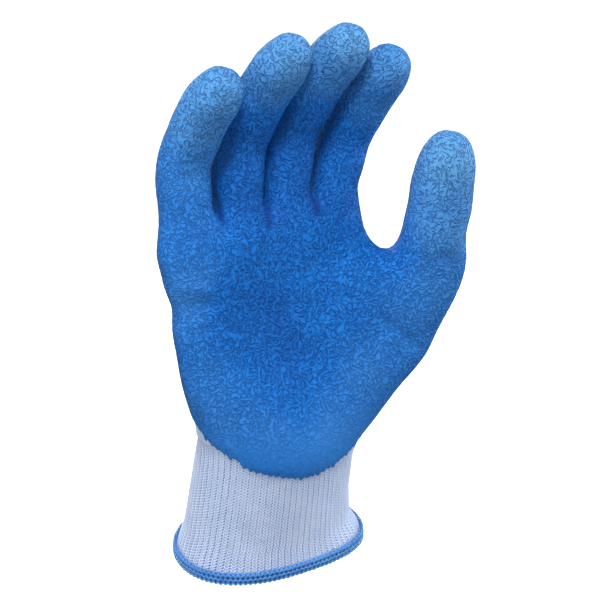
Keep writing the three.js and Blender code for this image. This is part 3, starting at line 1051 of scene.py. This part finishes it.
# The last six folds lie below the gaps between the fingers and along them, where they paint the shadow of
# the gaps into the latex's colour; the last three are painted shadow alone.
FOLDS = [
    Fold((48.7, -9.9, 111.4), (68.1, -18.4, 89.4), height=0.7, width=2.6, painted_shade=0.0),
    Fold((53.7, -10.3, 112.9), (74.3, -16.8, 92.2), height=-0.8, width=2.0, painted_shade=0.2),
    Fold((-36.0, 12.0, 139.0), (-20.0, 7.0, 136.0), height=0.7, width=2.6, painted_shade=0.0),
    Fold((-36.0, 9.0, 131.0), (-18.0, 4.0, 131.0), height=-0.8, width=2.4, painted_shade=0.2),
    Fold((-34.0, 5.0, 118.0), (-24.0, 1.0, 122.0), height=-0.6, width=2.2, painted_shade=0.2),
    Fold((-36.0, 17.0, 158.0), (-14.0, 13.0, 160.0), height=-0.6, width=2.2, painted_shade=0.2),
    Fold((62.0, 14.0, 160.0), (44.0, 12.0, 158.0), height=-0.5, width=2.2, painted_shade=0.2),
    Fold((70.0, -16.0, 134.0), (88.0, -14.0, 138.0), height=-0.5, width=2.4, painted_shade=0.2),
    Fold((12.8, 23.0, 166.0), (9.8, 12.5, 155.0), height=-0.55, width=2.3, painted_shade=1.0),
    Fold((36.4, 22.5, 165.0), (34.8, 13.0, 155.5), height=-0.55, width=2.3, painted_shade=1.0),
    Fold((-8.5, 33.0, 171.5), (-10.9, 15.5, 158.5), height=-0.55, width=2.3, painted_shade=1.0),
    Fold((7.5, 29.5, 212.0), (-9.0, 30.5, 168.0), height=0.0, width=3.2, painted_shade=0.6),
    Fold((32.0, 30.5, 208.5), (15.5, 31.0, 168.5), height=0.0, width=3.2, painted_shade=0.6),
    Fold((56.5, 32.0, 201.0), (39.5, 31.5, 165.0), height=0.0, width=3.2, painted_shade=0.6),
]


@dataclass
class LatexSkin:
    """The latex over the palm, the fingers and the thumb."""

    form: HandForm
    line: DipLine
    finish: LatexFinish = field(default_factory=LatexFinish)
    clearance: float = 0.3 * MM
    thickness: float = 0.8 * MM
    edge_thickness: float = 0.12 * MM
    edge_fade: float = 3.0 * MM
    edge_depth: float = 0.2 * MM
    crinkle_pitch: float = 3.4 * MM
    crinkle_height: float = 0.16 * MM
    crinkle_slope: float = 5
    crinkle_level: float = 0.6
    smoothest: float = 0.35
    smooth_to: float = -10 * MM
    shrunk_from: float = 18 * MM
    tone_reach: float = 12 * MM

    def build(self) -> bpy.types.Object:
        """Builds the skin.

        Returns:
            The piece.
        """
        surface = self.form.surface
        fade = smoothstep(self.line.inside, 0, self.edge_fade)
        height = self.clearance + self.edge_thickness + (self.thickness - self.edge_thickness) * fade
        height = height + (self._crinkle() + self._folds()) * fade
        outer = surface.points + surface.normals * height[:, None]
        root = surface.points - surface.normals * self.edge_depth
        cut = clipped(surface, self.line.inside)
        points, roots = cut.read(outer), cut.read(root)
        rim = rim_of(cut.faces)
        low: dict[int, int] = {}
        for edge in rim:
            for i in edge:
                low.setdefault(i, len(points) + len(low))
        faces = cut.faces + [(b, a, low[a], low[b]) for a, b in rim]
        points = np.concatenate([points, roots[list(low)]])
        # Painted shade in the creases and painted shadow in the gaps between the fingers, which darken the
        # latex's colour.
        painted_fold_shade = sum(fold.painted_shade * self._nearness(fold, points) for fold in FOLDS)
        values = {"tone": self._tone_and_light(points), "shrunk": self._shrunk(points), "painted_fold_shade": painted_fold_shade}
        made = make_object("latex_skin", points, faces, self.finish.build(), values)
        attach(made, "root")
        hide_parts("latex_coating")
        return made

    def _crinkle(self) -> np.ndarray:
        """Works out how far the coarse creases raise the latex at each point of the form."""
        raised = [noise.noise(Vector(p) / self.crinkle_pitch) for p in self.form.surface.points]
        ridge = np.minimum(np.abs(np.array(raised)) * self.crinkle_slope, 1)
        return (ridge - self.crinkle_level) * self.crinkle_height

    def _shrunk(self, points: np.ndarray) -> np.ndarray:
        """Works out how creased the latex is, which is thicker and smoother towards the wrist."""
        height = self.form.tube.height_of(points)
        return self.smoothest + (1 - self.smoothest) * smoothstep(height, self.smooth_to, self.shrunk_from)

    def _folds(self) -> np.ndarray:
        """Works out how far the folds of the palm raise the latex at each point of the form."""
        points = self.form.surface.points
        return sum(fold.height * MM * self._nearness(fold, points) for fold in FOLDS)

    @staticmethod
    def _nearness(fold: Fold, points: np.ndarray) -> np.ndarray:
        """Works out how near points are to a fold's line.

        Args:
            fold: The fold.
            points: The points.

        Returns:
            1 on the line, falling to 0 at its ends and away from it.
        """
        start, end = np.array(fold.start) * MM, np.array(fold.end) * MM
        span = end - start
        share = np.clip((points - start) @ span / (span @ span), 0, 1)
        away = np.linalg.norm(points - start - share[:, None] * span, axis=1)
        ends = 1 - (2 * share - 1) ** 4
        return ends * np.exp(-((away / (fold.width * MM)) ** 2))

    def _tone_and_light(self, points: np.ndarray) -> np.ndarray:
        """Works out how pale the latex is painted, as painted highlight and shade, between the spots of the
        table.

        Args:
            points: The points.

        Returns:
            The tone at each, from 0 to 1.
        """
        spots = np.array([spot[:3] for spot in TONE_AND_LIGHT_SPOTS]) * MM
        tones = np.array([spot.tone for spot in TONE_AND_LIGHT_SPOTS])
        away = np.linalg.norm(points[:, None] - spots[None], axis=2)
        weight = 1 / (away**2 + self.tone_reach**2) ** 2
        return np.clip((weight * tones).sum(axis=1) / weight.sum(axis=1), 0, 1)


class LoopShape(Enum):
    """The ways a stitch's yarn lies: where each leg starts, bends and ends, in shares of the stitch."""

    KNIT = (
        ((-0.07, -0.56, -0.08), (-0.30, -0.12, 0.38), (-0.50, 0.50, -0.10)),
        ((0.07, -0.56, -0.08), (0.30, -0.12, 0.38), (0.50, 0.50, -0.10)),
    )
    OVERLOCK = (
        ((-0.52, 0.40, -0.20), (-0.22, 0.06, 0.70), (0.04, -0.42, -0.10)),
        ((0.52, 0.40, -0.20), (0.22, 0.06, 0.70), (-0.04, -0.42, -0.10)),
    )


@dataclass
class StitchTree:
    """A Geometry Nodes tree that sets a stitch at every point it is given."""

    name: str
    shape: LoopShape
    yarn: float = 0.17
    taper: float = 0.45
    segments: int = 3
    sides: int = 4

    def build(self) -> bpy.types.NodeTree:
        """Builds the tree.

        Returns:
            The tree.
        """
        tree = bpy.data.node_groups.new(self.name, "GeometryNodeTree")
        for name, kind in (
            ("Geometry", "Geometry"),
            ("Yarn Radius", "Float"),
            ("Taper", "Float"),
            ("Segments", "Int"),
            ("Sides", "Int"),
            ("Yarn", "Material"),
        ):
            tree.interface.new_socket(name, in_out="INPUT", socket_type="NodeSocket" + kind)
        tree.interface.new_socket("Geometry", in_out="OUTPUT", socket_type="NodeSocketGeometry")

        def add(kind: str, inputs: dict | None = None, **settings: object) -> bpy.types.Node:
            """Adds a node with its settings, then its values or links.

            Args:
                kind: The node's type.
                inputs: Values or outputs of other nodes for its sockets, by name or by place.
                **settings: Its settings.

            Returns:
                The node.
            """
            made = tree.nodes.new(kind)
            for key, value in settings.items():
                setattr(made, key, value)
            for key, value in (inputs or {}).items():
                if isinstance(value, bpy.types.NodeSocket):
                    tree.links.new(value, made.inputs[key])
                else:
                    made.inputs[key].default_value = value
            return made

        def number(operation: str, first: object, second: object) -> bpy.types.NodeSocket:
            """Adds a Math node and gives its result."""
            return add("ShaderNodeMath", {0: first, 1: second}, operation=operation).outputs[0]

        def stored(name: str) -> bpy.types.NodeSocket:
            """Reads a vector that each point holds."""
            made = add("GeometryNodeInputNamedAttribute", {"Name": name}, data_type="FLOAT_VECTOR")
            return made.outputs["Attribute"]

        given = add("NodeGroupInput").outputs
        circle = {"Resolution": given["Sides"], "Radius": given["Yarn Radius"]}
        profile = add("GeometryNodeCurvePrimitiveCircle", circle).outputs[0]
        middle = number("SUBTRACT", add("GeometryNodeSplineParameter").outputs[0], 0.5)
        way = number("MULTIPLY", middle, 2.0)
        girth = number("SUBTRACT", 1.0, number("MULTIPLY", number("MULTIPLY", way, way), given["Taper"]))
        loop = add("GeometryNodeJoinGeometry")
        for start, bend, end in self.shape.value:
            leg = add(
                "GeometryNodeCurveQuadraticBezier",
                {"Resolution": given["Segments"], "Start": start, "Middle": bend, "End": end},
            )
            plump = add("GeometryNodeSetCurveRadius", {"Curve": leg.outputs[0], "Radius": girth})
            strand = add(
                "GeometryNodeCurveToMesh",
                {"Curve": plump.outputs[0], "Profile Curve": profile, "Fill Caps": True},
            )
            tree.links.new(strand.outputs[0], loop.inputs[0])
        turned = add(
            "FunctionNodeAxesToRotation",
            {"Primary Axis": stored("outward"), "Secondary Axis": stored("along")},
            primary_axis="Z",
            secondary_axis="Y",
        )
        placed = add(
            "GeometryNodeInstanceOnPoints",
            {
                "Points": given["Geometry"],
                "Instance": loop.outputs[0],
                "Rotation": turned.outputs[0],
                "Scale": stored("stitch"),
            },
        )
        real = add("GeometryNodeRealizeInstances", {0: placed.outputs[0]})
        smooth = add("GeometryNodeSetShadeSmooth", {"Geometry": real.outputs[0], "Shade Smooth": True})
        dressed = add("GeometryNodeSetMaterial", {"Geometry": smooth.outputs[0], "Material": given["Yarn"]})
        add("NodeGroupOutput", {0: dressed.outputs[0]})
        return tree

    def sew(
        self,
        places: np.ndarray,
        along: np.ndarray,
        outward: np.ndarray,
        stitch: np.ndarray,
        yarn: bpy.types.Material,
        lift: np.ndarray,
    ) -> bpy.types.Object:
        """Sews a stitch at each place.

        Args:
            places: Where the stitches stand.
            along: Which way each runs.
            outward: Which way each faces.
            stitch: How wide, long and thick each is.
            yarn: The yarn's material.
            lift: How much light each catches, from 0 to 1.

        Returns:
            The stitches as one plain mesh, with the tree's name.
        """
        values = {"along": along, "outward": outward, "stitch": stitch, "lift": lift}
        points = make_object(self.name + "_points", places, [], None, values)
        modifier = points.modifiers.new("stitches", "NODES")
        modifier.node_group = self.build()
        wanted = {
            "Yarn Radius": self.yarn,
            "Taper": self.taper,
            "Segments": self.segments,
            "Sides": self.sides,
            "Yarn": yarn,
        }
        for item in modifier.node_group.interface.items_tree:
            if item.in_out == "INPUT" and item.name in wanted:
                modifier[item.identifier] = wanted[item.name]
        graph = bpy.context.evaluated_depsgraph_get()
        mesh = bpy.data.meshes.new_from_object(points.evaluated_get(graph))
        mesh.name = self.name
        bpy.data.objects.remove(points)
        made = add_object(self.name, mesh)
        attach(made, "root")
        return made


KNIT_YARN = YarnFinish("knit_yarn", srgb(190, 208, 236), srgb(96, 120, 172), srgb(226, 234, 248))
HEM_YARN = YarnFinish("hem_yarn", srgb(62, 132, 202), srgb(24, 84, 164), srgb(114, 176, 228))
STITCH_THICKNESS = 1.5 * MM


def uneven(
    size: np.ndarray, sizes: tuple[float, float], lifts: tuple[float, float], seed: int
) -> tuple[np.ndarray, np.ndarray]:
    """Makes stitches a little uneven, as yarn pulls.

    Args:
        size: How wide, long and thick each stitch is.
        sizes: The least and the most that a stitch's size is multiplied by.
        lifts: The least and the most light that a stitch catches.
        seed: The seed of the draws.

    Returns:
        The stitches' sizes and how much light each catches.
    """
    rng = np.random.default_rng(seed)
    size = size * rng.uniform(*sizes, (len(size), 1))
    return size, rng.uniform(*lifts, len(size))


@dataclass
class RibCuff:
    """The ribbed cuff: a stretchy tube with a column of stitches along the crest of each rib.

    A stitch's width is a share of its rib's. Stitches that lie deeper than tucked inside the latex's edge
    are left out.
    """

    tube: CuffTube
    line: DipLine
    ribs: int = 72
    course: float = 1.35 * MM
    relief: float = 0.45 * MM
    wall: float = 2.0 * MM
    points_per_rib: int = 4
    rows: int = 24
    sunk: float = 0.2 * MM
    crest_lift: float = 0.3
    crest_light: float = 0.25
    inner_lift: float = 0.35
    stitch_width: float = 0.84
    stitch_rise: float = 0.1 * MM
    tucked: float = 1.2 * MM
    reach: float = 3 * MM
    sizes: tuple = (0.94, 1.06)
    lifts: tuple = (0.75, 1.0)
    seed: int = 3

    def build(self, yarn: bpy.types.Material) -> list[bpy.types.Object]:
        """Builds the cuff.

        Args:
            yarn: The cuff's yarn.

        Returns:
            The tube and its rib stitches.
        """
        count = self.ribs * self.points_per_rib
        turns = np.arange(count) / count
        wave = np.cos(2 * np.pi * turns * self.ribs) * self.relief
        outer, inner, lift = [], [], []
        for share in np.linspace(0, 1, self.rows):
            places, outward = self.tube.at(turns, share)
            outer.append(places + outward * (wave - self.sunk)[:, None])
            inner.append(places - outward * (self.wall - self.relief))
            lift.append(self.crest_lift + self.crest_light * wave / self.relief)
        points, faces = ring_wall([*outer, *inner[::-1]])
        lifts = np.concatenate([*lift, *[np.full(count, self.inner_lift)] * self.rows])
        base = make_object("cuff_tube", points, faces, yarn, {"lift": lifts})
        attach(base, "root")
        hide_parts("rib_cuff")
        return [base, self._stitches(yarn)]

    def _stitches(self, yarn: bpy.types.Material) -> bpy.types.Object:
        """Sews the columns of stitches that make the ribs.

        Args:
            yarn: The cuff's yarn.

        Returns:
            The stitches.
        """
        courses = round(self.tube.length / self.course)
        rib, row = np.meshgrid(np.arange(self.ribs), np.arange(courses))
        turns = (rib.ravel() / self.ribs) % 1
        shares = (row.ravel() + 0.5) / courses
        places, outward = self.tube.at(turns, shares)
        outward = unit(outward)
        along = unit(self.tube.read(self.tube.along, turns, shares))
        bare = self.line.near(places, self.reach) < self.tucked
        sides = [self.tube.read(self.tube.grid, turns + half / self.ribs, shares) for half in (0.5, -0.5)]
        size = np.empty_like(places)
        size[:, 0] = np.linalg.norm(sides[0] - sides[1], axis=1) * self.stitch_width
        size[:, 1:] = self.course, STITCH_THICKNESS
        size, lift = uneven(size, self.sizes, self.lifts, self.seed)
        places = places + outward * self.stitch_rise
        tree = StitchTree("rib_stitches", LoopShape.KNIT, yarn=0.145, taper=0.55)
        made = tree.sew(places[bare], along[bare], outward[bare], size[bare], yarn, lift[bare])
        return made


@dataclass
class KnitHand:
    """The knitted hand under the latex, with the stitches that show on its back.

    A stitch's width is a share of its patch's. Stitches that lie deeper than tucked inside the latex's
    edge are left out.
    """

    form: HandForm
    line: DipLine
    wall: float = 1.2 * MM
    overlap: float = 3.2 * MM
    sunk: float = 0.1 * MM
    rise: float = 0.15 * MM
    shell_lift: float = 0.5
    stitch_width: float = 0.95
    tucked: float = 0.9 * MM
    sizes: tuple = (0.95, 1.05)
    lifts: tuple = (0.7, 1.0)
    seed: int = 11

    def build(self, yarn: bpy.types.Material) -> list[bpy.types.Object]:
        """Builds the knitted hand.

        Args:
            yarn: The knit's yarn.

        Returns:
            The shell and its stitches.
        """
        surface = self.form.surface
        height = self.form.tube.height_of(surface.points)
        cut = clipped(surface, height + self.overlap)
        places, normals = cut.read(surface.points), unit(cut.read(surface.normals))
        count = len(places)
        points = np.concatenate([places - normals * self.sunk, places - normals * self.wall])
        inner = [tuple(count + i for i in reversed(face)) for face in cut.faces]
        rim = [(b, a, count + a, count + b) for a, b in rim_of(cut.faces)]
        lift = {"lift": np.full(len(points), self.shell_lift)}
        shell = make_object("knit_shell", points, cut.faces + inner + rim, yarn, lift)
        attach(shell, "root")
        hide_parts("knit_liner")
        return [shell, self._stitches(yarn)]

    def _stitches(self, yarn: bpy.types.Material) -> bpy.types.Object:
        """Sews a stitch on every patch of the knit that the latex leaves bare.

        Args:
            yarn: The knit's yarn.

        Returns:
            The stitches.
        """
        surface = self.form.surface
        inside = self.line.near(surface.points)
        height = self.form.tube.height_of(surface.points)
        faces = np.array([f for f in surface.faces if len(f) == 4])
        bare = (inside[faces].mean(axis=1) < self.tucked) & (height[faces].min(axis=1) > -self.overlap)
        corners = surface.points[faces[bare]]
        outward = unit(surface.normals[faces[bare]].mean(axis=1))
        one = (corners[:, 2] + corners[:, 3] - corners[:, 0] - corners[:, 1]) / 2
        other = (corners[:, 1] + corners[:, 2] - corners[:, 0] - corners[:, 3]) / 2
        steep = (np.abs(one[:, 2]) > np.abs(other[:, 2]))[:, None]
        along = np.where(steep, one, other)
        along = along * np.where(along[:, 2:] < 0, -1, 1)
        size = np.empty_like(along)
        size[:, 0] = np.linalg.norm(np.where(steep, other, one), axis=1) * self.stitch_width
        size[:, 1] = np.linalg.norm(along, axis=1)
        size[:, 2] = STITCH_THICKNESS
        size, lift = uneven(size, self.sizes, self.lifts, self.seed)
        places = corners.mean(axis=1) + outward * self.rise
        tree = StitchTree("hand_stitches", LoopShape.KNIT, yarn=0.2, segments=2, sides=3)
        made = tree.sew(places, unit(along), outward, size, yarn, lift)
        return made


class Corner(NamedTuple):
    """A corner of the hem's section, in millimetres out from the cuff's end and up from the hem's foot.

    Lift is how much light the thread catches there, from 0 to 1.
    """

    out: float
    up: float
    lift: float


class LoopRow(NamedTuple):
    """A row of loops round the hem, in millimetres.

    Wide and tall are a loop's size, and phase is the share of a loop that the row is turned by. A row under
    the hem faces down.
    """

    out: float
    up: float
    phase: float
    wide: float
    tall: float
    under: bool


HEM_PROFILE = [
    Corner(0.2, 6.2, lift=0.1),
    Corner(0.6, 5.5, lift=0.0),
    Corner(0.8, 4.6, lift=0.1),
    Corner(0.7, 3.9, lift=0.0),
    Corner(0.7, 3.2, lift=0.0),
    Corner(0.9, 2.5, lift=0.1),
    Corner(0.8, 1.8, lift=0.0),
    Corner(0.8, 1.0, lift=0.0),
    Corner(0.5, 0.3, lift=0.7),
    Corner(-1.2, 0.3, lift=0.4),
    Corner(-2.6, 0.5, lift=0.4),
    Corner(-2.9, 2.0, lift=0.2),
    Corner(-2.8, 4.4, lift=0.2),
    Corner(-2.2, 4.9, lift=0.2),
    Corner(-1.6, 3.2, lift=0.0),
    Corner(-0.2, 3.2, lift=0.0),
]

HEM_ROWS = [
    LoopRow(0.85, 5.2, phase=0.0, wide=2.3, tall=1.9, under=False),
    LoopRow(1.10, 3.1, phase=0.5, wide=2.4, tall=1.7, under=False),
    LoopRow(1.10, 1.0, phase=0.0, wide=2.4, tall=1.9, under=False),
    LoopRow(-0.80, 0.2, phase=0.5, wide=2.4, tall=3.2, under=True),
]


@dataclass
class OverlockHem:
    """The overlocked edge: threads looped over the cuff's end, in three rows outside and one under it."""

    tube: CuffTube
    loops: int = 108
    points_per_loop: int = 3
    sizes: tuple = (0.93, 1.08)
    lifts: tuple = (0.55, 1.0)
    seed: int = 5

    def build(self, thread: bpy.types.Material) -> list[bpy.types.Object]:
        """Builds the hem.

        Args:
            thread: The hem's thread.

        Returns:
            The band and its loops.
        """
        low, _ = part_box("hem_overlock")
        count = self.loops * self.points_per_loop
        turns = np.arange(count) / count
        rows = [self._row(turns, corner.out, low.z + corner.up * MM)[0] for corner in reversed(HEM_PROFILE)]
        lift = [np.full(count, corner.lift) for corner in reversed(HEM_PROFILE)]
        points, faces = ring_wall(rows)
        band = make_object("hem_band", points, faces, thread, {"lift": np.concatenate(lift)})
        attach(band, "root")
        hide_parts("hem_overlock")
        return [band, self._loops(thread, low.z)]

    def _row(self, turns: np.ndarray, out: float, up: float) -> tuple[np.ndarray, np.ndarray]:
        """Works out a row of places round the cuff's end.

        Args:
            turns: The turns round the cuff, from 0 to 1.
            out: How far out from the cuff's end they lie, in millimetres.
            up: How high they lie, in metres.

        Returns:
            The places, and the level way out at each.
        """
        places, away = self.tube.at(turns, 0)
        away[:, 2] = 0
        away = unit(away)
        places = places + away * out * MM
        places[:, 2] = up
        return places, away

    def _loops(self, thread: bpy.types.Material, floor: float) -> bpy.types.Object:
        """Sews the rows of loops.

        Args:
            thread: The hem's thread.
            floor: How high the hem's foot is.

        Returns:
            The loops.
        """
        places, along, outward, sizes = [], [], [], []
        level = np.tile(np.array(UP), (self.loops, 1))
        for row in HEM_ROWS:
            turns = (np.arange(self.loops) + row.phase) / self.loops
            place, away = self._row(turns, row.out, floor + row.up * MM)
            places.append(place)
            outward.append(-level if row.under else away)
            along.append(away if row.under else level)
            sizes.append(np.tile([row.wide * MM, row.tall * MM, STITCH_THICKNESS], (self.loops, 1)))
        places, along, outward, size = (np.concatenate(x) for x in (places, along, outward, sizes))
        size, lift = uneven(size, self.sizes, self.lifts, self.seed)
        tree = StitchTree("overlock_loops", LoopShape.OVERLOCK, yarn=0.2, taper=0.5, segments=5, sides=7)
        made = tree.sew(places, along, outward, size, thread, lift)
        return made


class Light(NamedTuple):
    """A soft square light, in metres and watts."""

    name: str
    place: tuple[float, float, float]
    size: float
    power: float


LIGHTS = [
    Light("left", (-0.85, 0.05, 0.45), size=0.5, power=4.2),
    Light("right", (0.85, -0.1, 0.30), size=0.5, power=7.0),
    Light("top", (-0.15, -0.25, 1.2), size=0.45, power=14.0),
    Light("front", (-0.3, -1.15, 0.25), size=0.8, power=5.5),
    Light("back", (0.1, 1.1, 0.35), size=0.8, power=6.0),
]


@dataclass
class Studio:
    """A pale studio with soft light, and the camera at the photograph's angle."""

    target: tuple = (14.1 * MM, -7.5 * MM, 129.6 * MM)
    azimuth: float = -28
    elevation: float = 29
    distance: float = 0.9
    lens: float = 122
    sky: float = 0.28
    floor_height: float = -0.5
    floor_reach: float = 3.0
    floor_colour: tuple = (0.9, 0.9, 0.9, 1)
    floor_roughness: float = 0.9
    floor_glow: float = 0.9
    dome_radius: float = 6
    dome_glow: float = 1.1

    def build(self) -> None:
        """Builds the camera, the sky, the lights, the floor and the backdrop."""
        scene = bpy.context.scene
        scene.view_settings.view_transform = "Standard"
        scene.camera = self._camera()
        world = bpy.data.worlds.new("studio")
        world.use_nodes = True
        background = world.node_tree.nodes["Background"].inputs
        background["Color"].default_value = WHITE
        background["Strength"].default_value = self.sky
        scene.world = world
        for wanted in LIGHTS:
            light = add_object(wanted.name, bpy.data.lights.new(wanted.name, "AREA"))
            light.data.size, light.data.energy = wanted.size, wanted.power
            light.location = wanted.place
            facing = Vector(self.target) - light.location
            light.rotation_euler = facing.to_track_quat("-Z", "Y").to_euler()
        self._floor()
        self._backdrop()

    def _camera(self) -> bpy.types.Object:
        """Builds the camera.

        Returns:
            The camera, aimed at the glove.
        """
        a, e = math.radians(self.azimuth), math.radians(self.elevation)
        facing = Vector((math.sin(a) * math.cos(e), -math.cos(a) * math.cos(e), math.sin(e)))
        camera = add_object("camera", bpy.data.cameras.new("camera"))
        camera.data.lens = self.lens
        camera.location = Vector(self.target) + facing * self.distance
        camera.rotation_euler = (-facing).to_track_quat("-Z", "Y").to_euler()
        return camera

    def _floor(self) -> None:
        """Builds the pale floor, which sheds no colour on the glove."""
        reach, height = self.floor_reach, self.floor_height
        sides = ((-1, -1), (1, -1), (1, 1), (-1, 1))
        points = np.array([(x * reach, y * reach, height) for x, y in sides])
        floor = make_object("floor", points, [(0, 1, 2, 3)])
        paint = Paint("floor")
        paint.set(
            Base_Color=self.floor_colour,
            Roughness=self.floor_roughness,
            Emission_Color=WHITE,
            Emission_Strength=self.floor_glow,
        )
        floor.data.materials.append(paint.material)
        floor.visible_diffuse = floor.visible_glossy = False
        floor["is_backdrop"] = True

    def _backdrop(self) -> None:
        """Builds the white dome behind everything, which only the camera sees."""
        shell = bmesh.new()
        bmesh.ops.create_icosphere(shell, subdivisions=4, radius=self.dome_radius)
        mesh = bpy.data.meshes.new("backdrop")
        shell.to_mesh(mesh)
        shell.free()
        dome = add_object("backdrop", mesh)
        paint = Paint("backdrop")
        paint.set(Base_Color=(0, 0, 0, 1), Emission_Color=WHITE, Emission_Strength=self.dome_glow)
        mesh.materials.append(paint.material)
        dome.visible_diffuse = dome.visible_glossy = dome.visible_shadow = dome.visible_transmission = False
        dome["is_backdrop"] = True


def corners() -> list[list[float]]:
    """Gives the shown object's box as plain numbers."""
    return [list(corner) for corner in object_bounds()]


def main() -> None:
    """Builds the glove, piece by piece, and logs how many triangles each piece has."""
    logging.basicConfig(level=logging.INFO, format="%(message)s")
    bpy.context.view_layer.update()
    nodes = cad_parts
    Studio().build()
    tube = CuffTube(nodes["rib_cuff"])
    fine = HandForm(nodes["knit_liner"], tube)
    coarse = HandForm(nodes["knit_liner"], tube, levels=2)
    line = DipLine(fine, nodes["latex_coating"], RibCuff.ribs)
    yarn = KNIT_YARN.build()
    pieces = [
        LatexSkin(fine, line).build(),
        *KnitHand(coarse, line).build(yarn),
        *RibCuff(tube, line).build(yarn),
        *OverlockHem(tube).build(HEM_YARN.build()),
    ]
    for piece in pieces:
        piece.data.calc_loop_triangles()
        log.info("%s: %d triangles", piece.name, len(piece.data.loop_triangles))


if __name__ == "__main__":
    main()
